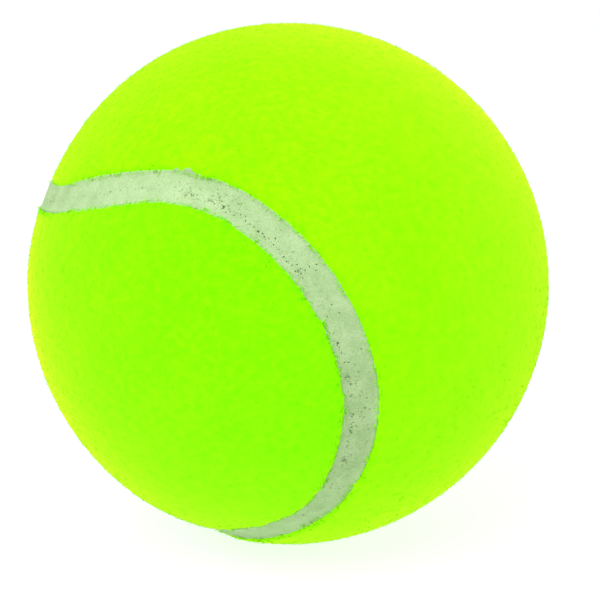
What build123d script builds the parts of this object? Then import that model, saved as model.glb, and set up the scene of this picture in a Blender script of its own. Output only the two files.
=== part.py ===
from build123d import *
import os
from math import asin, atan2, degrees, radians, sin, sqrt

# Driving dimensions, in millimetres
ball_diameter = 67.0
felt_thickness = 3.2
felt_edge_radius = 0.9
backing_thickness = 0.25
core_coat_thickness = 0.2
core_wall = 3.1
joint_cement_thickness = 0.3
rim_bevel = 0.8
seam_width = 3.7
seam_recess = 0.6

# Shape of the seam line, as angles seen from the middle of the ball, in degrees.
# Each felt panel is a dumbbell: a waist with a round end on either side of it.
# The middles of the front panel's ends are given by azimuth and elevation, as the ball lies.
round_end_angle = 43.6
front_lower_end = (24.1, -69.7)
front_upper_end = (178.8, 63.8)

# The back panel is the front panel after half a turn about a line with this azimuth and elevation
half_turn_line = (-103.2, -58.2)

# One overrun serves every cut
overrun = 1.0

# Radii from the outside in
ball_radius = ball_diameter / 2
seam_radius = ball_radius - seam_recess
felt_inner_radius = ball_radius - felt_thickness
backing_inner_radius = felt_inner_radius - backing_thickness
core_radius = backing_inner_radius - core_coat_thickness
core_inner_radius = core_radius - core_wall


def towards(azimuth, elevation):
    """The direction, of length one, with this azimuth and elevation."""
    return Vector(1, 0, 0).rotate(Axis.Y, -elevation).rotate(Axis.Z, azimuth)


# The ends in the order in which the seam passes them: the front panel's on its right, the back panel's on its left
centre = Vector(0, 0, 0)
half_turn = Axis(centre, towards(*half_turn_line))
front_lower = towards(*front_lower_end)
front_upper = towards(*front_upper_end)
back_lower = front_lower.rotate(half_turn, 180)
back_upper = front_upper.rotate(half_turn, 180)
RIGHT, LEFT = -1, 1
ends = [(front_lower, RIGHT), (back_lower, LEFT), (front_upper, RIGHT), (back_upper, LEFT)]


def straight_run(this_end, next_end):
    """The great circle that touches two ends and passes between them: its pole, and where it touches each."""
    here, side = this_end
    there = next_end[0]
    lean = (here - there) * (side * sin(radians(round_end_angle)) / (1 - here.dot(there)))
    upright = here.cross(there).normalized()
    pole = lean + upright * sqrt(1 - lean.dot(lean))
    leaving = (here - pole * here.dot(pole)).normalized()
    reaching = (there - pole * there.dot(pole)).normalized()
    return pole, leaving, reaching


def swing_between(start, end, pole):
    """The angle from one point of the sphere to another about a pole, in degrees."""
    from_start = start - pole * start.dot(pole)
    from_end = end - pole * end.dot(pole)
    return degrees(atan2(from_start.cross(from_end).dot(pole), from_start.dot(from_end))) % 360


# The seam line bends round one end after the other, and runs straight between them without a kink.
# Each stretch of it turns about a pole, from a start and through an angle.
runs = [straight_run(ends[i - 1], ends[i]) for i in range(len(ends))]
seam_line = []
for i, (middle, side) in enumerate(ends):
    pole, leaving, reaching = runs[i]
    next_leaving = runs[(i + 1) % len(runs)][1]
    seam_line.append((pole, leaving, swing_between(leaving, reaching, pole)))
    seam_line.append((middle * side, reaching, swing_between(reaching, next_leaving, middle * side)))


def seam_stretch(pole, start, swing, inner_radius, outer_radius):
    """One stretch of a parallel-sided band along the seam line, without its two flat ends."""
    section_plane = Plane(centre, x_dir=start, z_dir=pole.cross(start))
    inner_angle = degrees(asin(seam_width / 2 / inner_radius))
    outer_angle = degrees(asin(seam_width / 2 / outer_radius))
    with BuildPart() as stretch:
        with BuildSketch(section_plane):
            with BuildLine():
                bottom = CenterArc((0, 0), inner_radius, -inner_angle, 2 * inner_angle)
                top = CenterArc((0, 0), outer_radius, -outer_angle, 2 * outer_angle)
                Line(bottom @ 0, top @ 0)
                Line(bottom @ 1, top @ 1)
            make_face()
        revolve(axis=Axis(centre, pole), revolution_arc=swing)
    # The ends are the flat faces that the pole lies in
    flat_ends = stretch.faces().filter_by(GeomType.PLANE).sort_by(lambda face: abs(face.normal_at().dot(pole)))[:2]
    return stretch.faces().filter_by(lambda face: face not in flat_ends)


def seam_band(inner_radius, outer_radius):
    """One closed band along the whole seam line, between two radii."""
    skins = ShapeList()
    for pole, start, swing in seam_line:
        skins += seam_stretch(pole, start, swing, inner_radius, outer_radius)
    return Solid(Shell(skins))


def front_layer(inner_radius, outer_radius):
    """A layer of the front panel between two radii, with its edges cut square."""
    channel = seam_band(inner_radius - overrun, outer_radius + overrun)
    with BuildPart() as layer:
        Sphere(outer_radius)
        Sphere(inner_radius, mode=Mode.SUBTRACT)
        add(channel, mode=Mode.SUBTRACT)
    return layer.solids().sort_by_distance(front_lower * outer_radius)[0]


# Felt panel: napped cloth, its outer edge rounded by the nap
with BuildPart() as felt_panel_front:
    add(front_layer(felt_inner_radius, ball_radius))
    cut_edges = felt_panel_front.faces().filter_by(GeomType.SPHERE, reverse=True).edges()
    outside = felt_panel_front.faces().filter_by(GeomType.SPHERE).sort_by(SortBy.AREA)[-1]
    fillet(outside.edges().filter_by(lambda edge: edge in cut_edges), felt_edge_radius)

with BuildPart() as felt_panel_back:
    add(felt_panel_front.part.rotate(half_turn, 180))

# Backing: the rubber coat on the back of each felt panel
with BuildPart() as felt_backing_front:
    add(front_layer(backing_inner_radius, felt_inner_radius))

with BuildPart() as felt_backing_back:
    add(felt_backing_front.part.rotate(half_turn, 180))

# Seam strip: fills the channel between the panels, from the core's coat up to just below the felt
with BuildPart() as seam_strip:
    add(seam_band(backing_inner_radius, seam_radius))

# Core coat: the cement that the whole core is rolled in
with BuildPart() as core_cement_coat:
    Sphere(backing_inner_radius)
    Sphere(core_radius, mode=Mode.SUBTRACT)

# Core: two half-shells that meet level with the ball's middle.
# Their rims are flat, a little apart for the cement, and bevelled on the inside.
rim_height = joint_cement_thickness / 2
bevel_height = rim_height + rim_bevel
outer_rim_angle = degrees(asin(rim_height / core_radius))
inner_rim_angle = degrees(asin(bevel_height / core_inner_radius))
bevel_foot_radius = sqrt(core_inner_radius**2 - rim_height**2) + rim_bevel
upper_bevel_foot = (bevel_foot_radius, rim_height)
lower_bevel_foot = (bevel_foot_radius, -rim_height)

with BuildPart() as core_half_upper:
    with BuildSketch(Plane.XZ):
        with BuildLine():
            outer_wall = CenterArc((0, 0), core_radius, outer_rim_angle, 90 - outer_rim_angle)
            inner_wall = CenterArc((0, 0), core_inner_radius, inner_rim_angle, 90 - inner_rim_angle)
            Polyline(outer_wall @ 0, upper_bevel_foot, inner_wall @ 0)
            Line(inner_wall @ 1, outer_wall @ 1)
        make_face()
    revolve(axis=Axis.Z)

with BuildPart() as core_half_lower:
    mirror(core_half_upper.part, about=Plane.XY)

# Joint cement: a flat ring between the rims, with a bead in the groove that their bevels make
with BuildPart() as core_joint_cement:
    with BuildSketch(Plane.XZ):
        with BuildLine():
            joint_line = CenterArc((0, 0), core_radius, -outer_rim_angle, 2 * outer_rim_angle)
            bead_face = CenterArc((0, 0), core_inner_radius, -inner_rim_angle, 2 * inner_rim_angle)
            Polyline(joint_line @ 0, lower_bevel_foot, bead_face @ 0)
            Polyline(joint_line @ 1, upper_bevel_foot, bead_face @ 1)
        make_face()
    revolve(axis=Axis.Z)

pieces = {
    "felt_panel_front": felt_panel_front,
    "felt_panel_back": felt_panel_back,
    "seam_strip": seam_strip,
    "felt_backing_front": felt_backing_front,
    "felt_backing_back": felt_backing_back,
    "core_cement_coat": core_cement_coat,
    "core_half_upper": core_half_upper,
    "core_half_lower": core_half_lower,
    "core_joint_cement": core_joint_cement,
}

os.makedirs("parts", exist_ok=True)
for name, piece in pieces.items():
    piece.part.label = name
    export_step(piece.part, f"parts/{name}.step")
    print(name, round(piece.part.volume, 2), "cubic millimetres")
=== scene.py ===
# %% [markdown]
# # Dressing a tennis ball
# The imported CAD model is the frame of this lesson: nine solids that already sit in their places, in
# metres. Blender adds what a solid can't show: the nap of the felt, its loose fibres, and the pitted
# rubber of the seam.
# Everything is loaded first. Loading leaves the solids selected, so the next thing is to select nothing.

# %% Load the frame
import math

import bpy
import numpy as np
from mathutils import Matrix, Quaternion, Vector, kdtree


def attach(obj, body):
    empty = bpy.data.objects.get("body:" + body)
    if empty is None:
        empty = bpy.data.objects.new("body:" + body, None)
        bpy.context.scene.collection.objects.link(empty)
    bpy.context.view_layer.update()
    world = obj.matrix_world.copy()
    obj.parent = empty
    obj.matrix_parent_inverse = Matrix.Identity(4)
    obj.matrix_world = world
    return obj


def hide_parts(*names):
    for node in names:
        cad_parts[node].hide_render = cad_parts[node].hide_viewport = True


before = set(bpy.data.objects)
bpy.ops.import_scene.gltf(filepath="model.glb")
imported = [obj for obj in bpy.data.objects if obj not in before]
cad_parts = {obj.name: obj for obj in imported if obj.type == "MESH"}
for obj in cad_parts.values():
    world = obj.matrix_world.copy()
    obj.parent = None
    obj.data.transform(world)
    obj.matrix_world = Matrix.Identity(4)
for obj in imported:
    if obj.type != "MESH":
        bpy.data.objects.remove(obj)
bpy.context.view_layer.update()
bpy.ops.object.select_all(action="DESELECT")
print("CAD nodes:", ", ".join(sorted(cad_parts)))

# %% [markdown]
# ## The ball's measures
# A few lengths of the part are needed again here, because the nap and the seam follow them. They are the
# same values that the part's own source starts from, in millimetres, and one factor turns them into metres.

# %% Measures shared with the part
MM = 0.001
ball_radius = 33.5 * MM
felt_thickness = 3.2 * MM
felt_inner_radius = ball_radius - felt_thickness
felt_edge_radius = 0.9 * MM
backing_inner_radius = 30.05 * MM
seam_width = 3.7 * MM
half_width = seam_width / 2
seam_recess = 0.6 * MM
seam_radius = ball_radius - seam_recess
print("ball", round(2 * ball_radius / MM, 1), "mm across, seam", round(seam_width / MM, 1), "mm wide")

# %% [markdown]
# ## Camera
# The photograph looks at the ball from a little above the level, from about six and a half radii away.
# The outline of a ball is always a circle round the line to its middle, so the camera is aimed at the
# middle, and a small lens shift then slides that circle to where it sits in the frame.

# %% Camera at the photograph's viewing angle
frame_pixels = 600
outline_pixels = 261.0
middle_pixels = (288.1, 283.5)
distance_in_radii = 6.5
camera_elevation = math.radians(12.16)

outline_slope = 1 / math.sqrt(distance_in_radii**2 - 1)
half_frame_slope = outline_slope * (frame_pixels / 2) / outline_pixels
camera_data = bpy.data.cameras.new("camera")
camera_data.sensor_width = 36.0
camera_data.lens = camera_data.sensor_width / 2 / half_frame_slope
camera_data.shift_x = (frame_pixels / 2 - middle_pixels[0]) / frame_pixels
camera_data.shift_y = (middle_pixels[1] - frame_pixels / 2) / frame_pixels
camera_data.clip_start = 0.01
camera = bpy.data.objects.new("camera", camera_data)
bpy.context.scene.collection.objects.link(camera)
towards_camera = Vector((0, -math.cos(camera_elevation), math.sin(camera_elevation)))
camera.location = towards_camera * distance_in_radii * ball_radius
camera.rotation_euler = (-towards_camera).to_track_quat("-Z", "Y").to_euler()
bpy.context.scene.camera = camera
print("lens", round(camera_data.lens, 1), "mm")

# %% [markdown]
# ## Colours and nodes
# Three helpers serve the materials. The first turns a colour as a paint program writes it into the linear
# numbers that Blender's sockets hold. The second adds one node with its settings, and links or sets its
# inputs. The third starts a material with the shader that most of them use.

# %% Helpers for materials
def linear(hex_colour):
    """An sRGB hex colour as linear red, green, blue and alpha."""
    shares = [int(hex_colour[i : i + 2], 16) / 255 for i in (1, 3, 5)]
    bent = [c / 12.92 if c <= 0.04045 else ((c + 0.055) / 1.055) ** 2.4 for c in shares]
    return (*bent, 1.0)


def add_node(tree, kind, inputs=None, **settings):
    """Adds one node. A setting is a property of it, and an input is a value or another node's output."""
    node = tree.nodes.new("ShaderNode" + kind)
    for name, value in settings.items():
        setattr(node, name, value)
    for name, value in (inputs or {}).items():
        if isinstance(value, bpy.types.NodeSocket):
            tree.links.new(value, node.inputs[name])
        else:
            node.inputs[name].default_value = value
    return node


def start_material(name):
    """A new material, its node tree, and the shader that it starts with."""
    material = bpy.data.materials.new(name)
    material.use_nodes = True
    tree = material.node_tree
    return material, tree, tree.nodes["Principled BSDF"]


print("the middle grey of a paint program is", round(linear("#808080")[0], 3), "in linear numbers")

# %% [markdown]
# ## Stage
# The ball is shown on plain white under soft light. A large pale floor catches a faint shadow, and it
# throws light back up at the ball, which is why the underside of the real one is nowhere dark.
# What the camera sees of the floor is partly its own glow, set to white, so the floor reads as the white
# page while the shadow still shows on it. Close round the ball a glow that only the ball receives lights
# its underside, as a light table does.

# %% Floor
floor_size = 6.0
paper_bounced, paper_seen = 0.5, 0.3
page_glow = 0.8
table_glow = 0.6
table_near, table_far = 20 * MM, 160 * MM


def seen_directly(tree):
    """One where the camera, a mirror or glass looks at a surface, nought where light only bounces off."""
    rays = add_node(tree, "LightPath").outputs
    seen = add_node(
        tree, "Math", {0: rays["Is Camera Ray"], 1: rays["Is Glossy Ray"]}, operation="MAXIMUM",
    )
    seen = add_node(
        tree, "Math", {0: seen.outputs[0], 1: rays["Is Transmission Ray"]}, operation="MAXIMUM",
    )
    return seen.outputs[0]


bpy.ops.mesh.primitive_plane_add(size=floor_size, location=(0, 0, -ball_radius))
floor = bpy.context.object
floor.name = "floor"
floor_paint = bpy.data.materials.new("matt_white_paper")
floor_paint.use_nodes = True
tree = floor_paint.node_tree
tree.nodes.clear()
seen = seen_directly(tree)
paper_level = add_node(tree, "MapRange", {"Value": seen, "To Min": paper_bounced, "To Max": paper_seen})
paper = add_node(tree, "BsdfDiffuse", {"Color": paper_level.outputs[0]})
floor_place = add_node(tree, "TexCoord").outputs["Object"]
from_ball = add_node(tree, "VectorMath", {0: floor_place}, operation="LENGTH").outputs["Value"]
table_light = add_node(tree, "MapRange", {
    "Value": from_ball, "From Min": table_near, "From Max": table_far,
    "To Min": table_glow, "To Max": 0.0,
})
glow_level = add_node(
    tree, "MapRange", {"Value": seen, "To Min": table_light.outputs[0], "To Max": page_glow},
)
glow = add_node(tree, "Emission", {"Color": linear("#FFFFFF"), "Strength": glow_level.outputs[0]})
both = add_node(tree, "AddShader", {0: paper.outputs[0], 1: glow.outputs[0]})
add_node(tree, "OutputMaterial", {"Surface": both.outputs[0]})
floor.data.materials.append(floor_paint)
print("floor", floor_size, "m wide, glowing up to", round(table_far / MM), "mm from where the ball rests")

# %% [markdown]
# The world is white to the camera, and lights the ball from all round at a lower level, a little more from
# behind, where a white backdrop would stand. One wide lamp above the camera, a little to the left, adds the
# gentle difference between the upper side and the lower one, and a weaker one on the right keeps that
# outline bright. Together they come to about one, so a colour renders about as it is written.

# %% World and lamps
front_level = 0.5
back_level = 0.82
world = bpy.data.worlds.new("white_tent")
world.use_nodes = True
bpy.context.scene.world = world
tree = world.node_tree
tree.nodes.clear()
facing = add_node(tree, "SeparateXYZ", {0: add_node(tree, "TexCoord").outputs["Generated"]})
around = add_node(
    tree, "MapRange",
    {"Value": facing.outputs["Y"], "From Min": -1.0, "To Min": front_level, "To Max": back_level},
)
level = add_node(
    tree, "MapRange", {"Value": seen_directly(tree), "To Min": around.outputs[0], "To Max": 1.0},
)
sky = add_node(tree, "Background", {"Color": linear("#FFFFFF"), "Strength": level.outputs[0]})
add_node(tree, "OutputWorld", {"Surface": sky.outputs[0]})


def soft_lamp(name, place, size, watts):
    """A square lamp that faces the ball."""
    lamp_data = bpy.data.lights.new(name, "AREA")
    lamp_data.size = size
    lamp_data.energy = watts
    lamp = bpy.data.objects.new(name, lamp_data)
    bpy.context.scene.collection.objects.link(lamp)
    lamp.location = place
    lamp.rotation_euler = (-Vector(place)).to_track_quat("-Z", "Y").to_euler()


soft_lamp("key_lamp", place=(-0.30, -0.57, 0.69), size=0.7, watts=8.5)
soft_lamp("rim_lamp", place=(0.85, 0.12, 0.05), size=0.8, watts=5.0)
bpy.context.scene.view_settings.view_transform = "Standard"
print("world level", front_level, "in front,", back_level, "behind")

# %% [markdown]
# ## Felt
# The cloth is a woven base with a raised nap of wool and nylon, dyed a fluorescent yellow-green. Brushing
# leaves the fibres in clumps: their tips are yellow where light gets at them, and the gaps between them are
# greener. The eye gets a colour that drifts by small steps, no gloss at all, and a pale bloom towards the
# outline, where it looks along the fibres.
# One flat green would look like plastic. So the base colour runs through three greens by two noises, one as
# large as the clumps and one much larger, and sheen gives the bloom. Single fibres are too fine to show in
# the bump, so it draws them as strands about 0.2 mm wide.
# The back panel's greens are a shade deeper than the front's. This is painted shade for the darker lower
# front of the ball, where its lobe lies. It also has a little more bloom.

# %% Napped felt materials
FRONT, BACK = 0, 1
clump_size = 0.9 * MM
clump_share = 0.75
drift_size = 9.0 * MM
strand_size = 0.22 * MM
strand_height = 0.05 * MM
bloom_tint = "#FFFF38"


def spread_greens(ramp, greens):
    """Gives a colour ramp three greens, the second one in its middle."""
    ramp.elements[0].color = linear(greens[0])
    ramp.elements[1].color = linear(greens[2])
    ramp.elements.new(0.5).color = linear(greens[1])


def napped_felt(name, greens, bloom):
    """Felt between three greens, with sheen as its bloom."""
    material, tree, shader = start_material(name)
    place = add_node(tree, "TexCoord").outputs["Object"]
    clumps = add_node(
        tree, "TexNoise", {"Vector": place, "Scale": 1 / clump_size, "Detail": 3.0, "Roughness": 0.6},
    )
    drift = add_node(tree, "TexNoise", {"Vector": place, "Scale": 1 / drift_size, "Detail": 1.0})
    mixed = add_node(tree, "Math", {0: clumps.outputs["Fac"], 1: clump_share}, operation="MULTIPLY")
    mixed = add_node(
        tree, "Math", {0: drift.outputs["Fac"], 1: 1 - clump_share, 2: mixed.outputs[0]},
        operation="MULTIPLY_ADD",
    )
    colours = add_node(tree, "ValToRGB", {"Fac": mixed.outputs[0]})
    colours.color_ramp.elements[0].position = 0.36
    colours.color_ramp.elements[1].position = 0.64
    spread_greens(colours.color_ramp, greens)
    strands = add_node(tree, "TexNoise", {"Vector": place, "Scale": 1 / strand_size, "Detail": 2.0})
    raised = add_node(
        tree, "Bump", {"Height": strands.outputs["Fac"], "Strength": 0.25, "Distance": strand_height},
    )
    tree.links.new(colours.outputs["Color"], shader.inputs["Base Color"])
    tree.links.new(raised.outputs["Normal"], shader.inputs["Normal"])
    shader.inputs["Roughness"].default_value = 0.95
    shader.inputs["IOR"].default_value = 1.45
    shader.inputs["Specular IOR Level"].default_value = 0.02
    shader.inputs["Sheen Weight"].default_value = bloom
    shader.inputs["Sheen Roughness"].default_value = 0.5
    shader.inputs["Sheen Tint"].default_value = linear(bloom_tint)
    return material


felts = {
    FRONT: napped_felt("napped_wool_nylon_felt", ("#84F500", "#8EFA01", "#98FE02"), 0.75),
    # The back panel's deeper greens are painted shade.
    BACK: napped_felt("napped_wool_nylon_felt_painted_shade", ("#76F500", "#7FFA01", "#89FE02"), 0.85),
}
print("felts:", ", ".join(material.name for material in felts.values()))

# %% [markdown]
# The loose fibres on top are the same wool and nylon. Each carries a number of its own from 0 to 1, which
# runs it through the same greens, so neighbours differ a little as strands do.

# %% Loose fibre materials
def loose_fibre(name, greens):
    """Single strands between three greens."""
    material, tree, shader = start_material(name)
    tint = add_node(tree, "Attribute", attribute_name="tint")
    colours = add_node(tree, "ValToRGB", {"Fac": tint.outputs["Fac"]})
    spread_greens(colours.color_ramp, greens)
    tree.links.new(colours.outputs["Color"], shader.inputs["Base Color"])
    shader.inputs["Roughness"].default_value = 0.9
    shader.inputs["IOR"].default_value = 1.45
    shader.inputs["Specular IOR Level"].default_value = 0.02
    shader.inputs["Sheen Weight"].default_value = 0.6
    shader.inputs["Sheen Tint"].default_value = linear(bloom_tint)
    return material


loose_fibres = {
    FRONT: loose_fibre("loose_wool_nylon_fibre", ("#88F600", "#90FB01", "#9CFF04")),
    # The back panel's fibres carry the same painted shade as its felt.
    BACK: loose_fibre("loose_wool_nylon_fibre_painted_shade", ("#79F600", "#80FB01", "#8BFF04")),
}
print("fibres:", ", ".join(material.name for material in loose_fibres.values()))

# %% [markdown]
# ## The seam line
# The nap leans over the seam and the rubber strip follows it, so both need the line that the seam takes.
# It could be picked off the edges of the CAD solids, but the part's own angles give it exactly: it bends
# round one end of a panel after another, and runs straight between them, along great circles.
# The back panel is the front one after half a turn, so two of the four ends are given, and the turn adds
# the others. Seen along the seam, the front panel's ends lie on its right and the back panel's on its left.

# %% The four ends that the seam bends round
RIGHT, LEFT = -1, 1
round_end_angle = math.radians(43.6)


def towards(azimuth, elevation):
    """The direction with this azimuth and elevation, in degrees."""
    turn, rise = math.radians(azimuth), math.radians(elevation)
    return Vector((math.cos(rise) * math.cos(turn), math.cos(rise) * math.sin(turn), math.sin(rise)))


def turned(start, axis, angle):
    """A direction turned about an axis."""
    return Quaternion(axis, angle) @ start


front_ends = [towards(24.1, -69.7), towards(178.8, 63.8)]
half_turn_line = towards(-103.2, -58.2)
ends = []
for front_end in front_ends:
    ends.append((front_end, RIGHT))
    ends.append((turned(front_end, half_turn_line, math.pi), LEFT))
print(len(ends), "round ends")

# %% [markdown]
# A straight run is the one great circle that touches two neighbouring ends and passes between them. Where
# it touches an end, the bend takes over in the same direction, so the line has no kink.
# Every stretch, bent or straight, is a turn about some pole, so one way of writing serves them all.

# %% Straight runs between the ends
def straight_run(this_end, next_end):
    """The great circle that touches two ends: its pole, and where it touches each."""
    here, side = this_end
    there = next_end[0]
    lean = (here - there) * side * math.sin(round_end_angle) / (1 - here.dot(there))
    pole = lean + here.cross(there).normalized() * math.sqrt(1 - lean.length_squared)
    leaving = (here - pole * here.dot(pole)).normalized()
    reaching = (there - pole * there.dot(pole)).normalized()
    return pole, leaving, reaching


def stretch_between(start, end, pole):
    """A stretch that turns about a pole: the pole, its start, its swing and its length as an angle."""
    from_start = start - pole * start.dot(pole)
    from_end = end - pole * end.dot(pole)
    swing = math.atan2(from_start.cross(from_end).dot(pole), from_start.dot(from_end)) % (2 * math.pi)
    return pole, start, swing, swing * from_start.length


runs = [straight_run(ends[i - 1], ends[i]) for i in range(len(ends))]
stretches = []
for i, (middle, side) in enumerate(ends):
    pole, leaving, reaching = runs[i]
    next_leaving = runs[(i + 1) % len(runs)][1]
    stretches.append(stretch_between(leaving, reaching, pole))
    stretches.append(stretch_between(reaching, next_leaving, middle * side))
stretch_stops = np.cumsum([length for _, _, _, length in stretches])
seam_angle = stretch_stops[-1]
print("seam", round(seam_angle * seam_radius / MM, 1), "mm long")

# %% [markdown]
# The whole line is cut into even steps, called stations here. At each one the direction across the seam,
# towards the back panel, is worked out as well, so that a section of the seam can be stood on it.

# %% Stations along the whole ring
stations = 2000


def lengths(rows):
    """The length of each row."""
    return np.linalg.norm(rows, axis=1)


ring = np.empty((stations, 3))
for station in range(stations):
    way = (station + 0.5) / stations * seam_angle
    index = int(np.searchsorted(stretch_stops, way))
    pole, start, swing, length = stretches[index]
    ring[station] = turned(start, pole, swing * (1 - (stretch_stops[index] - way) / length))
along = np.roll(ring, -1, axis=0) - np.roll(ring, 1, axis=0)
towards_back = np.cross(ring, along / lengths(along)[:, None])
steps = lengths(np.roll(ring, -1, axis=0) - ring) * seam_radius / MM
print(stations, "stations,", round(steps.min(), 3), "to", round(steps.max(), 3), "mm apart")

# %% [markdown]
# Later steps ask for many thousand points which station is the nearest. Measuring each point against every
# station would take long, and a search tree answers at once.

# %% Finding the nearest station
ring_tree = kdtree.KDTree(stations)
for index, point in enumerate(ring):
    ring_tree.insert(point * ball_radius, index)
ring_tree.balance()


def nearest_station(rows):
    """For each row, the nearest point on the seam line, its station, and how far off it is."""
    found = [ring_tree.find(row) for row in rows]
    points, indices, distances = zip(*found)
    return np.array(points), np.array(indices), np.array(distances)


print("nearest to the lowest point of the ball: station", nearest_station([(0, 0, -ball_radius)])[1][0])

# %% [markdown]
# A worker lays the panels by hand, so the edges of the felt stray from their planned lines by up to a
# millimetre. Here and there the felt was pressed flatter beside the seam, or the cement fills its groove
# higher. All this is given in millimetres at some stations, strays positive towards the back panel, and
# averaging over the stations near by rounds it off.

# %% How the seam was laid
# Station, stray of the front edge and the back edge, how far the felt is pressed at each, filling
as_laid = np.array([
    (50, 0.2, 0.2, 0.0, 0.0, 0.1),
    (150, -0.25, -0.2, 0.1, 0.0, 0.0),
    (250, 0.1, 0.05, 0.0, 0.1, 0.15),
    (350, 0.3, 0.25, 0.0, 0.0, 0.05),
    (440, -0.1, -0.1, 0.0, 0.1, 0.1),
    (490, 0.2, 0.2, 0.0, 0.4, 0.0),
    (550, 0.45, 0.5, 0.0, 0.45, 0.05),
    (590, 0.35, 0.0, 0.0, 0.1, 0.0),
    (620, 0.35, -0.3, 0.0, 0.0, 0.0),
    (640, 0.45, -0.05, 0.0, 0.0, 0.0),
    (690, 0.5, 0.3, 0.0, 0.0, 0.0),
    (740, 0.15, 0.1, 0.0, 0.0, 0.0),
    (810, 0.3, 0.05, 0.0, 0.0, 0.0),
    (880, 0.15, -0.05, 0.0, 0.0, 0.0),
    (950, 0.0, -0.3, 0.0, 0.0, 0.0),
    (1010, 0.4, 0.15, 0.0, 0.0, 0.0),
    (1060, 0.55, 0.65, 0.0, 0.0, 0.0),
    (1100, 0.65, -0.1, 0.05, 0.0, 0.1),
    (1130, 0.2, -0.6, 0.15, 0.0, 0.2),
    (1160, -0.4, -1.0, 0.35, 0.1, 0.28),
    (1200, -0.3, -0.7, 0.35, 0.15, 0.28),
    (1260, 0.0, -0.3, 0.2, 0.0, 0.1),
    (1330, 0.3, 0.25, 0.0, 0.0, 0.0),
    (1450, -0.3, -0.25, 0.0, 0.1, 0.1),
    (1560, 0.15, 0.15, 0.1, 0.0, 0.1),
    (1680, -0.2, -0.2, 0.0, 0.0, 0.0),
    (1800, 0.25, 0.2, 0.0, 0.0, 0.15),
    (1920, -0.1, -0.1, 0.0, 0.1, 0.05),
])
rounding = 15
given_at = as_laid[:, 0]
laid = np.array([
    np.interp(np.arange(stations), given_at, column, period=stations) for column in as_laid.T[1:]
])
near_by = range(-rounding, rounding + 1)
laid = np.mean([np.roll(laid, shift, axis=1) for shift in near_by], axis=0) * MM
straying, pressing, filling = laid[:2], laid[2:4], laid[4]
print("the edges stray", round(straying.min() / MM, 2), "to", round(straying.max() / MM, 2), "mm")

# %% [markdown]
# ## Felt panels
# Each panel starts as a copy of its CAD solid, whose shape is right but whose triangles are long and few.
# Subdividing would only cut them into more long triangles. A voxel remesh cuts the copy into even squares,
# and a shrinkwrap puts their corners back on the solid's surface.
# Operators work on whatever is selected, so one helper makes a piece the only selected one, and a second
# adds a modifier and applies it straight away.

# %% An even mesh from a CAD solid
voxel = 0.45 * MM
merge_distance = 0.001 * MM


def pick(piece):
    """Makes a piece the only selected object, and the active one."""
    bpy.ops.object.select_all(action="DESELECT")
    piece.select_set(True)
    bpy.context.view_layer.objects.active = piece


def shape_with(piece, kind, **settings):
    """Adds a modifier of one kind, sets it and applies it."""
    modifier = piece.modifiers.new(kind.title(), kind)
    for name, value in settings.items():
        setattr(modifier, name, value)
    pick(piece)
    bpy.ops.object.modifier_apply(modifier=modifier.name)


def even_copy(name, node, material):
    """A copy of a CAD solid in even squares."""
    piece = bpy.data.objects.new(name, node.data.copy())
    bpy.context.scene.collection.objects.link(piece)
    piece.data.materials.clear()
    piece.data.materials.append(material)
    pick(piece)
    bpy.ops.object.mode_set(mode="EDIT")
    bpy.ops.mesh.select_all(action="SELECT")
    bpy.ops.mesh.remove_doubles(threshold=merge_distance)
    bpy.ops.object.mode_set(mode="OBJECT")
    shape_with(piece, "REMESH", mode="VOXEL", voxel_size=voxel, use_smooth_shade=True)
    shape_with(piece, "SHRINKWRAP", target=node, wrap_method="NEAREST_SURFACEPOINT")
    return piece


felt_front = even_copy("felt_front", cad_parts["felt_panel_front"], felts[FRONT])
felt_back = even_copy("felt_back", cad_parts["felt_panel_back"], felts[BACK])
print("panels of", len(felt_front.data.polygons), "and", len(felt_back.data.polygons), "faces")

# %% [markdown]
# Now there is enough mesh to move the cut edge to where it was laid. The cloth beside the edge follows it,
# less and less with the distance, and less too near the rubber that it is glued to.
# Pressing works the same way, but inwards. The front panel was pressed over a wider reach than the back.

# %% Laying the panels
follow_reach = 6 * MM
glued_height = 1.2 * MM
press_reach = {FRONT: 20 * MM, BACK: 8 * MM}
nap_floor = ball_radius - 1.1 * MM
nap_fade = 0.8 * MM


def places_of(mesh):
    """A mesh's vertices as rows of x, y and z."""
    flat = np.empty(3 * len(mesh.vertices), np.float32)
    mesh.vertices.foreach_get("co", flat)
    return flat.reshape(-1, 3).astype(float)


def lay(panel, side):
    """Moves and presses a panel's edge. Gives how far outside each vertex is, and how far from the seam."""
    places = places_of(panel.data)
    radii = lengths(places)
    outside = np.clip((radii - nap_floor) / nap_fade, 0, 1)
    _, station, from_line = nearest_station(places)
    from_seam = from_line - half_width
    height = radii - felt_inner_radius
    follows = np.clip(1 - from_seam / follow_reach, 0, 1) * np.clip(height / glued_height, 0, 1)
    places += towards_back[station] * (straying[side][station] * follows)[:, None]
    gives_way = np.clip(1 - from_seam / press_reach[side], 0, 1) * height / felt_thickness
    places *= ((radii - pressing[side][station] * gives_way) / lengths(places))[:, None]
    panel.data.vertices.foreach_set("co", places.astype(np.float32).ravel())
    return outside, from_seam


laid_panels = [(felt_front, *lay(felt_front, FRONT)), (felt_back, *lay(felt_back, BACK))]
print("pressed by up to", round(pressing.max() / MM, 2), "mm beside the seam")

# %% [markdown]
# A brushed nap is uneven, and the cut edge is ragged. Two displace modifiers do that, each with a cloud
# texture a little larger than the clumps: one shifts the edge in all directions, and one sinks the outside.
# Weights that fade out down the cut edge keep the cloth against the rubber where it is glued.

# %% Brushing the panels
nap_depth = 0.1 * MM
edge_wander = 0.5 * MM
ragged_width = 1.8 * MM
nap_clumps = bpy.data.textures.new("nap_clumps", "CLOUDS")
nap_clumps.noise_scale = 1.1 * MM
nap_clumps.noise_depth = 2
nap_jitter = bpy.data.textures.new("nap_jitter", "CLOUDS")
nap_jitter.cloud_type = "COLOR"
nap_jitter.noise_scale = 1.5 * MM
nap_jitter.noise_depth = 1


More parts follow.
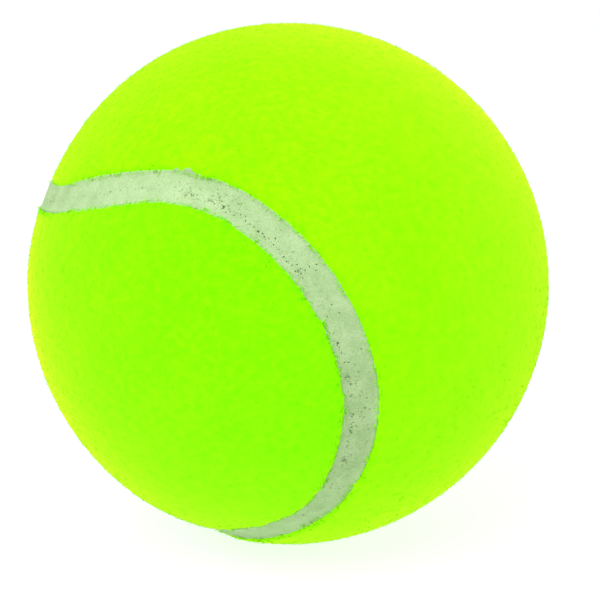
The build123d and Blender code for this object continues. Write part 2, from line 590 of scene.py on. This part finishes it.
def weigh(piece, name, weights):
    """A vertex group with these weights."""
    group = piece.vertex_groups.new(name=name)
    for index in np.flatnonzero(weights):
        group.add([int(index)], weights[index], "REPLACE")


for panel, outside, from_seam in laid_panels:
    weigh(panel, "outside", outside)
    weigh(panel, "edge", outside * np.clip(1 - from_seam / ragged_width, 0, 1))
    shape_with(
        panel, "DISPLACE", texture=nap_jitter, texture_coords="LOCAL", direction="RGB_TO_XYZ",
        strength=edge_wander, mid_level=0.5, vertex_group="edge",
    )
    shape_with(
        panel, "DISPLACE", texture=nap_clumps, texture_coords="LOCAL", direction="NORMAL",
        strength=nap_depth, mid_level=0.9, vertex_group="outside",
    )
    panel.data.calc_loop_triangles()
    print(panel.name, len(panel.data.loop_triangles), "triangles")

# %% [markdown]
# Nothing on a ball moves against anything else, so each panel rides on its one body. It takes the place of
# its CAD solid, which is then no longer shown.

# %% Panels in the place of the solids
for panel, node_name in ((felt_front, "felt_panel_front"), (felt_back, "felt_panel_back")):
    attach(panel, "root")
    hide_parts(node_name)
    print(panel.name, "replaces", node_name)

# %% [markdown]
# ## Nap fibres
# Single fibres stand out of the nap: they break up the ball's outline and lean over the edge of the seam.
# Blender's hair could grow them, but it isn't a mesh, and each piece here has to be one.
# So one fibre is modelled by hand: a triangle, drawn up twice and closed to a point. It is then copied many
# thousand times, each copy rooted in the felt, bent over and turned its own way. Real fibres are about
# 0.03 mm thick. They are drawn about twice that here, because thinner ones don't show.

# %% One fibre
taper = 0.8
bpy.ops.object.select_all(action="DESELECT")
bpy.ops.mesh.primitive_circle_add(vertices=3, radius=1.0, fill_type="NGON")
fibre = bpy.context.object
bpy.ops.object.mode_set(mode="EDIT")
bpy.ops.mesh.select_all(action="SELECT")
bpy.ops.mesh.extrude_region_move(TRANSFORM_OT_translate={"value": (0, 0, 1)})
bpy.ops.transform.resize(value=(taper, taper, 1))
bpy.ops.mesh.extrude_region_move(TRANSFORM_OT_translate={"value": (0, 0, 1)})
bpy.ops.mesh.merge(type="CENTER")
bpy.ops.mesh.select_all(action="SELECT")
bpy.ops.mesh.normals_make_consistent(inside=False)
bpy.ops.object.mode_set(mode="OBJECT")
fibre_places = places_of(fibre.data)
fibre_faces = [list(face.vertices) for face in fibre.data.polygons]
fibre_level = np.rint(fibre_places[:, 2]).astype(int)
bpy.data.objects.remove(fibre)
print("one fibre:", len(fibre_places), "vertices,", len(fibre_faces), "faces")

# %% [markdown]
# The fibres root at random on the outside of the felt. Along the cut edge they stand much closer, as a
# fringe over the seam.

# %% Where the fibres root
fringe_width = 0.8 * MM
fringe_density = 6
root_depth = 1.3 * MM


def from_laid_line(rows, side):
    """The nearest point on the seam line, and how far each row is from that line as it was laid."""
    on_line, station, _ = nearest_station(rows)
    return on_line, np.abs((rows * towards_back[station]).sum(1) - straying[side][station])


def scatter_roots(panel, side, count, rng):
    """Random places on the outside of a panel, and the normals there."""
    mesh = panel.data
    mesh.calc_loop_triangles()
    triangles = np.empty(3 * len(mesh.loop_triangles), np.int32)
    mesh.loop_triangles.foreach_get("vertices", triangles)
    first, second, third = places_of(mesh)[triangles.reshape(-1, 3)].transpose(1, 0, 2)
    facing = np.cross(second - first, third - first)
    area = lengths(facing)
    _, from_line = from_laid_line(first, side)
    likely = np.where(from_line - half_width < fringe_width, fringe_density, 1) * area
    likely[lengths(first) < ball_radius - root_depth] = 0
    chosen = rng.choice(len(area), count, p=likely / likely.sum())
    u, v = rng.random((2, count, 1))
    u, v = np.where(u + v > 1, 1 - u, u), np.where(u + v > 1, 1 - v, v)
    roots = first[chosen] + u * (second - first)[chosen] + v * (third - first)[chosen]
    return roots, facing[chosen] / area[chosen][:, None]


print("fringe", round(fringe_width / MM, 1), "mm wide,", fringe_density, "times as dense as the open felt")

# %% [markdown]
# Brushing lays the fibres in slow waves, with a good deal of disorder, and the edge pulls those near it
# towards the seam. A fibre rises a little from its root, bends, and falls again towards its tip.
# Those near the edge are longer and thicker, because each of them stands for a tuft of several.

# %% How the fibres lie
brush_length = 22 * MM
lean_width = 1.2 * MM
pull_to_seam = 2.6
root_disorder, tip_disorder = 1.1, 0.6
# A fibre's own measures: lengths and thicknesses in millimetres, angles with their spread in degrees
usual_length, length_spread = 0.6, 0.25
shortest, longest = 0.3, 1.1
thinnest, thickest = 0.04, 0.065
rise_degrees, fall_degrees = (16, 6), (-6, 8)
bend_at = 0.45
longer_at_edge, thicker_at_edge = 0.3, 1.2
usual_tint, tint_spread, tint_by_brushing = 0.5, 0.15, 0.1


def across_to(rows, normals):
    """Rows laid flat against the surface with these normals, at length one."""
    flat_rows = rows - normals * (rows * normals).sum(1)[:, None]
    return flat_rows / np.maximum(lengths(flat_rows), 1e-9)[:, None]


def tilted(flat_rows, normals, angles):
    """Directions that rise out of the surface by these angles."""
    return np.cos(angles)[:, None] * flat_rows + np.sin(angles)[:, None] * normals


def lie_of(roots, normals, side, rng):
    """Where each fibre bends and ends, how thick it is, and its tint."""
    count = len(roots)
    on_line, from_line = from_laid_line(roots, side)
    to_line = across_to(on_line - roots, normals)
    waves = rng.normal(size=(3, 3)) * 2 * math.pi / brush_length
    brushed = np.stack([np.sin(roots @ wave) for wave in waves], axis=1)
    near_edge = np.clip(1 - (from_line - half_width) / lean_width, 0, 1)
    pull = pull_to_seam * near_edge[:, None] * to_line
    first_way = across_to(brushed + root_disorder * rng.normal(size=(count, 3)) + pull, normals)
    second_way = across_to(first_way + tip_disorder * rng.normal(size=(count, 3)), normals)
    length = np.clip(rng.lognormal(math.log(usual_length), length_spread, count), shortest, longest)
    length = (length * (1 + longer_at_edge * near_edge) * MM)[:, None]
    rise = np.radians(rng.normal(*rise_degrees, count))
    fall = np.radians(rng.normal(*fall_degrees, count))
    bends = roots + bend_at * length * tilted(first_way, normals, rise)
    tips = bends + (1 - bend_at) * length * tilted(second_way, normals, fall)
    thickness = rng.uniform(thinnest, thickest, count) * (1 + thicker_at_edge * near_edge) * MM
    tints = rng.normal(usual_tint, tint_spread, count) + tint_by_brushing * brushed[:, 0]
    return bends, tips, thickness, np.clip(tints, 0, 1)


print("fibres usually", usual_length, "mm long, waves of the brush", round(brush_length / MM), "mm")

# %% [markdown]
# All fibres of one piece share a mesh, because thousands of objects would slow everything down. The
# modelled fibre is laid along each line, its three levels on the root, the bend and the tip.
# The tint goes into an attribute that the material reads. It steps darker towards the root and lighter
# towards the tip, as painted shade near the felt, where the fibres shade each other. A small UV map by tint
# and side gives fibres of one tint the same spot in a baked picture.

# %% Many fibres in one mesh
painted_shade_step = 0.12
chart_middle, chart_reach = 0.5, 0.4


def fibre_mesh(name, roots, bends, tips, thickness, tints):
    """One mesh of bent fibres, each from a root over a bend to a tip."""
    count = len(roots)
    upright = bends - roots
    upright /= lengths(upright)[:, None]
    side = across_to(np.cross(upright, roots), upright)[:, None]
    other = np.cross(upright, side[:, 0])[:, None]
    line = np.stack([roots, bends, tips], axis=1)
    round_it = fibre_places[None, :, 0, None] * side + fibre_places[None, :, 1, None] * other
    points = line[:, fibre_level] + round_it * thickness[:, None, None] / 2
    face_sizes = np.array([len(face) for face in fibre_faces])
    first_vertex = np.arange(count)[:, None] * len(fibre_places)
    corners = (np.concatenate(fibre_faces)[None] + first_vertex).ravel()
    starts = np.concatenate([[0], np.cumsum(np.tile(face_sizes, count))[:-1]])
    mesh = bpy.data.meshes.new(name)
    mesh.vertices.add(count * len(fibre_places))
    mesh.vertices.foreach_set("co", points.astype(np.float32).ravel())
    mesh.loops.add(len(corners))
    mesh.loops.foreach_set("vertex_index", corners.astype(np.int32))
    mesh.polygons.add(len(starts))
    mesh.polygons.foreach_set("loop_start", starts.astype(np.int32))
    mesh.polygons.foreach_set("use_smooth", np.ones(len(starts), bool))
    mesh.update(calc_edges=True)
    # Painted shade: each fibre's tint is darker at the root and lighter at the tip.
    tint_rows = np.clip(tints[:, None] + painted_shade_step * (fibre_level[None] - 1), 0, 1)
    shade = mesh.attributes.new("tint", "FLOAT", "POINT")
    shade.data.foreach_set("value", tint_rows.astype(np.float32).ravel())
    sideways = np.broadcast_to(chart_middle + chart_reach * fibre_places[:, 0], tint_rows.shape)
    chart_rows = np.stack([tint_rows, sideways], axis=2).reshape(-1, 2)
    chart = mesh.uv_layers.new(name="OFBake")
    chart.data.foreach_set("uv", chart_rows[corners].astype(np.float32).ravel())
    return mesh


print("a fibre's tint changes by", painted_shade_step, "from level to level")

# %% [markdown]
# Each panel gets two pieces of fibres, so that none of them has too many triangles. Each has a seed of its
# own, so the same fibres grow on every run. A fibre starts a little inside the felt, so its end is hidden.

# %% Growing the nap
nap_count = 9000
root_inside = 0.1 * MM


def grow_nap(name, panel, side, count, seed):
    """A piece of loose fibres on the outside of a felt panel."""
    rng = np.random.default_rng(seed)
    roots, normals = scatter_roots(panel, side, count, rng)
    bends, tips, thickness, tints = lie_of(roots, normals, side, rng)
    inside = roots - root_inside * normals
    nap = bpy.data.objects.new(name, fibre_mesh(name, inside, bends, tips, thickness, tints))
    bpy.context.scene.collection.objects.link(nap)
    nap.data.materials.append(loose_fibres[side])
    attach(nap, "root")
    print(name, count, "fibres, tips up to", round(lengths(tips).max() / MM, 2), "mm from the middle")
    return nap


for side, panel_name, panel in ((FRONT, "front", felt_front), (BACK, "back", felt_back)):
    [
        grow_nap(f"nap_{panel_name}_{part}", panel, side, nap_count, seed=10 * side + part)
        for part in (1, 2)
    ]

# %% [markdown]
# ## The cloth as it was cut
# Each panel is one flat dumbbell of cloth, stretched over the round core. Its flat size follows from the
# seam line: it is as long as the way over its waist from tip to tip, and as wide as the seam strays from
# that way on both sides.

# %% [markdown]
# ## Seam rubber
# The seam is cement that was squeezed out between the panels and vulcanised. It is pale, quite matte and a
# little chalky. The green in its colour is painted light, thrown back by the felt beside it. Two noises mix
# its colour: soft clouds, and the chalk.
# Real chalk grains are finer than a tenth of a millimetre, so they are drawn about twice as coarse to show.

# %% Seam rubber material
cloud_size = 2.5 * MM
chalk_size = 0.2 * MM
chalk_height = 0.06 * MM
cloud_share = 0.45
seam_rubber, tree, shader = start_material("vulcanised_seam_cement")
place = add_node(tree, "TexCoord").outputs["Object"]
clouds = add_node(tree, "TexNoise", {"Vector": place, "Scale": 1 / cloud_size, "Detail": 3.0})
chalk = add_node(
    tree, "TexNoise", {"Vector": place, "Scale": 1 / chalk_size, "Detail": 2.0, "Roughness": 0.7},
)
mixed = add_node(tree, "Math", {0: clouds.outputs["Fac"], 1: cloud_share}, operation="MULTIPLY")
mixed = add_node(
    tree, "Math", {0: chalk.outputs["Fac"], 1: 1 - cloud_share, 2: mixed.outputs[0]},
    operation="MULTIPLY_ADD",
)
# The green in these greys is painted light reflected from the felt beside the seam.
greys = add_node(tree, "ValToRGB", {"Fac": mixed.outputs[0]})
greys.color_ramp.elements[0].position = 0.36
greys.color_ramp.elements[0].color = linear("#92B477")
greys.color_ramp.elements[1].position = 0.64
greys.color_ramp.elements[1].color = linear("#B2CE99")
raised = add_node(
    tree, "Bump", {"Height": chalk.outputs["Fac"], "Strength": 0.4, "Distance": chalk_height},
)
tree.links.new(greys.outputs["Color"], shader.inputs["Base Color"])
tree.links.new(raised.outputs["Normal"], shader.inputs["Normal"])
shader.inputs["Roughness"].default_value = 0.8
shader.inputs["IOR"].default_value = 1.52
print("seam:", seam_rubber.name)

# %% [markdown]
# Bubbles in the cement broke while it set and left pits. Their floors are painted nearly black, a little
# green and quite dull. This is painted shade for the dark inside the pits.

# %% Painted shade in the pits
speck_size = 0.5 * MM
pit_shade, tree, shader = start_material("painted_shade_in_cement_pits")
place = add_node(tree, "TexCoord").outputs["Object"]
specks = add_node(tree, "TexNoise", {"Vector": place, "Scale": 1 / speck_size, "Detail": 2.0})
# The near-black colour on the pit floors is painted shade.
darks = add_node(tree, "ValToRGB", {"Fac": specks.outputs["Fac"]})
darks.color_ramp.elements[0].color = linear("#12160E")
darks.color_ramp.elements[1].color = linear("#434B39")
tree.links.new(darks.outputs["Color"], shader.inputs["Base Color"])
shader.inputs["Roughness"].default_value = 0.9
print("dirt:", pit_shade.name)

# %% [markdown]
# ## Seam strip
# The CAD strip is a plain band with square edges. The real one was squeezed against the felt, so its top
# climbs a little at both sides, and in a few places it went over the felt's edge and a smear of it dried
# there. Each smear has a station, a panel, a length along the seam and a reach over the felt, the last two
# in millimetres.

# %% Smears of cement over the felt's edge
thinnest_smear = 0.05 * MM
smears = [
    (971, FRONT, 1.0, 0.55),
    (980, FRONT, 0.5, 0.35),
    (1655, BACK, 1.0, 0.5),
    (100, FRONT, 1.4, 0.6),
    (377, BACK, 0.8, 0.4),
    (1297, FRONT, 1.2, 0.55),
    (1436, BACK, 0.9, 0.45),
]
reach = np.zeros((2, stations))
for station, panel_side, smear_length, smear_reach in smears:
    apart = (np.arange(stations) - station + stations / 2) % stations - stations / 2
    hump = np.exp(-((apart * steps.mean() / (smear_length / 2)) ** 2)) * smear_reach * MM
    reach[panel_side] = np.maximum(reach[panel_side], np.where(hump > thinnest_smear, hump, 0))
print(len(smears), "smears")

# %% [markdown]
# The section runs across the top from panel to panel. Its sides reach a little under the felt, so no crack
# shows however ragged the felt's edge is, and they stay below the felt wherever it was pressed.
# Only a smear lies above the felt. Its height there follows the rounded edge of the cloth.

# %% The top of the section at each station
top_points = 29
overlap = 0.4 * MM
lip_height = 0.44 * MM
lip_sharpness = 6
tuck_depth = 0.4 * MM
tucked_beyond = 0.15 * MM
felt_clearance = 0.03 * MM
smear_start = 0.1 * MM
smear_thickness = 0.06 * MM
widened_share = 0.25
across = np.linspace(-1, 1, top_points)


def by_side(rows):
    """Values for the front and the back edge, spread over the points on either side of a section."""
    return np.where(across[None] < 0, rows[FRONT][:, None], rows[BACK][:, None])


side_reach = by_side(reach)
pressed = by_side(pressing)
widening = np.clip((np.abs(across) - (1 - widened_share)) / widened_share, 0, 1)
top_offset = across * (half_width + overlap) + np.sign(across) * widening * side_reach
lip = np.clip(lip_height - pressed, 0, None)
top_radius = seam_radius + filling[:, None] + lip * np.abs(across) ** lip_sharpness
top_radius[:, [0, -1]] -= tuck_depth
over_edge = np.clip(np.abs(top_offset) - half_width, 0, felt_edge_radius)
felt_rise = np.sqrt(felt_edge_radius**2 - (felt_edge_radius - over_edge) ** 2)
felt_height = ball_radius - felt_edge_radius + felt_rise - pressed
below_felt = np.minimum(top_radius, felt_height - felt_clearance)
top_radius = np.where(over_edge > tucked_beyond, below_felt, top_radius)
beside_felt = (np.abs(top_offset) > half_width - smear_start) & (np.abs(across) < 1)
above_felt = np.maximum(top_radius, felt_height + smear_thickness)
top_radius = np.where((side_reach > 0) & beside_felt, above_felt, top_radius)
back_share = (across + 1) / 2
top_offset += (1 - back_share) * straying[FRONT][:, None] + back_share * straying[BACK][:, None]
print("top between", round(top_radius.min() / MM, 2), "and", round(top_radius.max() / MM, 2), "mm out")

# %% [markdown]
# Two more points take the section down to the core, one at the foot of each wall.
# A long grid of squares is then wrapped into a closed strip: each of its columns is laid on the section at
# one station, across the top, down to the feet and back to where it began. A curve with a bevel could give
# such a band too, but its section would be the same everywhere.
# The grid's ends meet as well, so merging the doubled points leaves no open edge.

# %% The strip on the seam line
foot_offset = np.tile([half_width, -half_width], (stations, 1))
foot_radius = np.full_like(foot_offset, backing_inner_radius)
section_offset = np.concatenate([top_offset, foot_offset], axis=1)
section_radius = np.concatenate([top_radius, foot_radius], axis=1)
section_angle = np.arcsin(section_offset / section_radius)
section_points = section_offset.shape[1]

bpy.ops.object.select_all(action="DESELECT")
bpy.ops.mesh.primitive_grid_add(x_subdivisions=stations, y_subdivisions=section_points, size=2)
strip = bpy.context.object
strip.name = "seam_cement"
grid_shares = (places_of(strip.data)[:, :2] + 1) / 2
grid_steps = np.rint(grid_shares * (stations, section_points)).astype(int)
grid_place = (grid_steps[:, 0] % stations, grid_steps[:, 1] % section_points)
angle = section_angle[grid_place][:, None]
outward = np.cos(angle) * ring[grid_place[0]] + np.sin(angle) * towards_back[grid_place[0]]
strip_places = outward * section_radius[grid_place][:, None]
strip.data.vertices.foreach_set("co", strip_places.astype(np.float32).ravel())
strip.data.update()
strip.data.materials.append(seam_rubber)
strip.data.materials.append(pit_shade)
pick(strip)
bpy.ops.object.mode_set(mode="EDIT")
bpy.ops.mesh.select_all(action="SELECT")
bpy.ops.mesh.remove_doubles(threshold=merge_distance)
bpy.ops.mesh.normals_make_consistent(inside=False)
bpy.ops.object.mode_set(mode="OBJECT")
bpy.ops.object.shade_smooth()
print("strip", len(strip.data.polygons), "faces")

# %% [markdown]
# The cement set in the mould between two soft edges, so its top is never quite even. A displace modifier
# with a slow cloud texture gives it low waves, on its top alone.

# %% Unevenness of its top
wave_height = 0.03 * MM
top_depth = 0.2 * MM
seam_waves = bpy.data.textures.new("seam_waves", "CLOUDS")
seam_waves.noise_scale = 1.6 * MM
seam_waves.noise_depth = 2
is_top = lengths(places_of(strip.data)) > seam_radius - top_depth
weigh(strip, "top", is_top.astype(float))
shape_with(
    strip, "DISPLACE", texture=seam_waves, texture_coords="LOCAL", direction="NORMAL",
    strength=wave_height, mid_level=0.5, vertex_group="top",
)
print(is_top.sum(), "points on the top")

# %% [markdown]
# Pits come in three sizes: a few blisters several squares wide, bubbles of one square, and pinholes much
# smaller than a square. Each kind is a set of squares that is inset and pushed down, so it has a real rim
# and floor, where a dark spot in the material alone would stay flat.
# Most lie in clusters along a line that wanders a little off the middle, where air was trapped when the
# seam was pressed. Some lie anywhere near the middle.

# %% Where pits may lie
pit_depth_limit = 0.1 * MM
pit_border = 0.85
pit_line_width = 0.1
open_width, open_share = 0.5, 0.2
cluster_waves = ((9, 0.4), (23, 2.1), (57, 4.0), (131, 1.2))
cluster_level, cluster_swing, least_chance = 0.6, 0.3, 0.1
pit_line_middle, pit_line_swing = 0.36, 0.28
pit_line_turns, pit_line_phase = 4, 0.6
ways = np.arange(stations) / stations * 2 * math.pi
clusters = sum(np.sin(turns * ways + phase) for turns, phase in cluster_waves)
clusters = np.clip(cluster_level + cluster_swing * clusters, least_chance, None)
pit_line = pit_line_middle - pit_line_swing * np.cos(pit_line_turns * ways - pit_line_phase)


def pit_chance():
    """The middle of each face of the strip, and how likely a pit is there."""
    middles = np.empty(3 * len(strip.data.polygons), np.float32)
    strip.data.polygons.foreach_get("center", middles)
    middles = middles.reshape(-1, 3).astype(float)
    _, station, _ = nearest_station(middles)
    off_line = ((middles * towards_back[station]).sum(1) - straying.mean(axis=0)[station]) / half_width
    on_top = (lengths(middles) > seam_radius - pit_depth_limit) & (np.abs(off_line) < pit_border)
    shaded_floor = np.empty(len(middles), np.int32)
    strip.data.polygons.foreach_get("material_index", shaded_floor)
    in_line = np.exp(-(((off_line - pit_line[station]) / pit_line_width) ** 2))
    chance = in_line + open_share * np.exp(-((off_line / open_width) ** 2))
    chance = np.where(on_top & (shaded_floor == 0), chance * clusters[station], 0)
    return middles, chance / chance.sum()


print("line of pits", round(pit_line.min(), 2), "to", round(pit_line.max(), 2), "half widths off middle")

# %% [markdown]
# A pit is made as by hand: its faces are selected, inset with a little depth, and what is left selected,
# the floor, gets the painted shade. The blisters come first, while the squares are still even. Each takes
# all the squares within a small distance of one that is drawn at random.

# %% Blisters
pit_seed = 7
blister_count = 45
blister_radii_mm = (0.08, 0.14)
blister_rim, blister_depth = 0.03 * MM, 0.2 * MM


def sink(faces, rim, depth):
    """Insets faces of the strip downwards and gives their floors the painted shade."""
    pick(strip)
    bpy.ops.object.mode_set(mode="EDIT")
    bpy.ops.mesh.select_mode(type="FACE")
    bpy.ops.mesh.select_all(action="DESELECT")
    bpy.ops.object.mode_set(mode="OBJECT")
    for index in faces:
        strip.data.polygons[index].select = True
    bpy.ops.object.mode_set(mode="EDIT")
    bpy.ops.mesh.inset(thickness=rim, depth=-depth)
    strip.active_material_index = 1
    bpy.ops.object.material_slot_assign()
    bpy.ops.object.mode_set(mode="OBJECT")


rng = np.random.default_rng(pit_seed)
middles, chance = pit_chance()
face_tree = kdtree.KDTree(len(middles))
for index, middle in enumerate(middles):
    face_tree.insert(middle, index)
face_tree.balance()
blisters = set()
for seed_face in rng.choice(len(chance), blister_count, replace=False, p=chance):
    blister_radius = rng.uniform(*blister_radii_mm) * MM
    for _, index, _ in face_tree.find_range(middles[seed_face], blister_radius):
        if chance[index] > 0:
            blisters.add(index)
sink(blisters, blister_rim, blister_depth)
print(blister_count, "blisters on", len(blisters), "squares")

# %% [markdown]
# Bubbles and pinholes are single squares, drawn at random too. A wide inset leaves a pinhole much smaller
# than its square. Each inset gives the faces new numbers, so the chances are worked out anew for each kind.
# The finished strip takes the place of the CAD one.

# %% Bubbles and pinholes
# Count, width of the rim, depth
small_pits = [
    (450, 0.02 * MM, 0.15 * MM),
    (1600, 0.05 * MM, 0.08 * MM),
]
for pit_count, rim, depth in small_pits:
    middles, chance = pit_chance()
    sink(rng.choice(len(chance), pit_count, replace=False, p=chance), rim, depth)
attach(strip, "root")
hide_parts("seam_strip")
print("pitted strip", len(strip.data.polygons), "faces")

# %% [markdown]
# ## Rubber and cement inside
# The other solids are under the felt: the coat on the back of each panel, the coat of cement on the core,
# the two moulded halves of the core and the cement that joins them. Their shapes are right as they are, so
# they stay and only get materials. All are rubber: even in colour with fine clouds in it, and matte from
# the mould or the brush. That grain is really finer, and is drawn coarser here so that it shows.

# %% Materials for the inner solids
grain_size = 0.4 * MM
grain_height = 0.05 * MM


def inner_rubber(name, dark, light, cloud_size, roughness):
    """Clouded matte rubber between two colours."""
    material, tree, shader = start_material(name)
    place = add_node(tree, "TexCoord").outputs["Object"]
    clouds = add_node(tree, "TexNoise", {"Vector": place, "Scale": 1 / cloud_size, "Detail": 4.0})
    colours = add_node(tree, "ValToRGB", {"Fac": clouds.outputs["Fac"]})
    colours.color_ramp.elements[0].position = 0.35
    colours.color_ramp.elements[0].color = linear(dark)
    colours.color_ramp.elements[1].position = 0.65
    colours.color_ramp.elements[1].color = linear(light)
    grain = add_node(tree, "TexNoise", {"Vector": place, "Scale": 1 / grain_size, "Detail": 2.0})
    raised = add_node(
        tree, "Bump", {"Height": grain.outputs["Fac"], "Strength": 0.3, "Distance": grain_height},
    )
    tree.links.new(colours.outputs["Color"], shader.inputs["Base Color"])
    tree.links.new(raised.outputs["Normal"], shader.inputs["Normal"])
    shader.inputs["Roughness"].default_value = roughness
    shader.inputs["IOR"].default_value = 1.52
    return material


backing_rubber = inner_rubber("brushed_backing_rubber", "#C2B592", "#D4C8A8", 1.5 * MM, 0.8)
core_cement = inner_rubber("rolled_core_cement", "#A8966A", "#C0AE82", 2.5 * MM, 0.7)
core_rubber = inner_rubber("moulded_core_rubber", "#161616", "#222221", 4.0 * MM, 0.6)
inner_materials = {
    "felt_backing_front": backing_rubber,
    "felt_backing_back": backing_rubber,
    "core_cement_coat": core_cement,
    "core_joint_cement": core_cement,
    "core_half_upper": core_rubber,
    "core_half_lower": core_rubber,
}
for node_name, material in inner_materials.items():
    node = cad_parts[node_name]
    for slot in node.material_slots:
        slot.material = material
print("inner solids:", len(inner_materials))
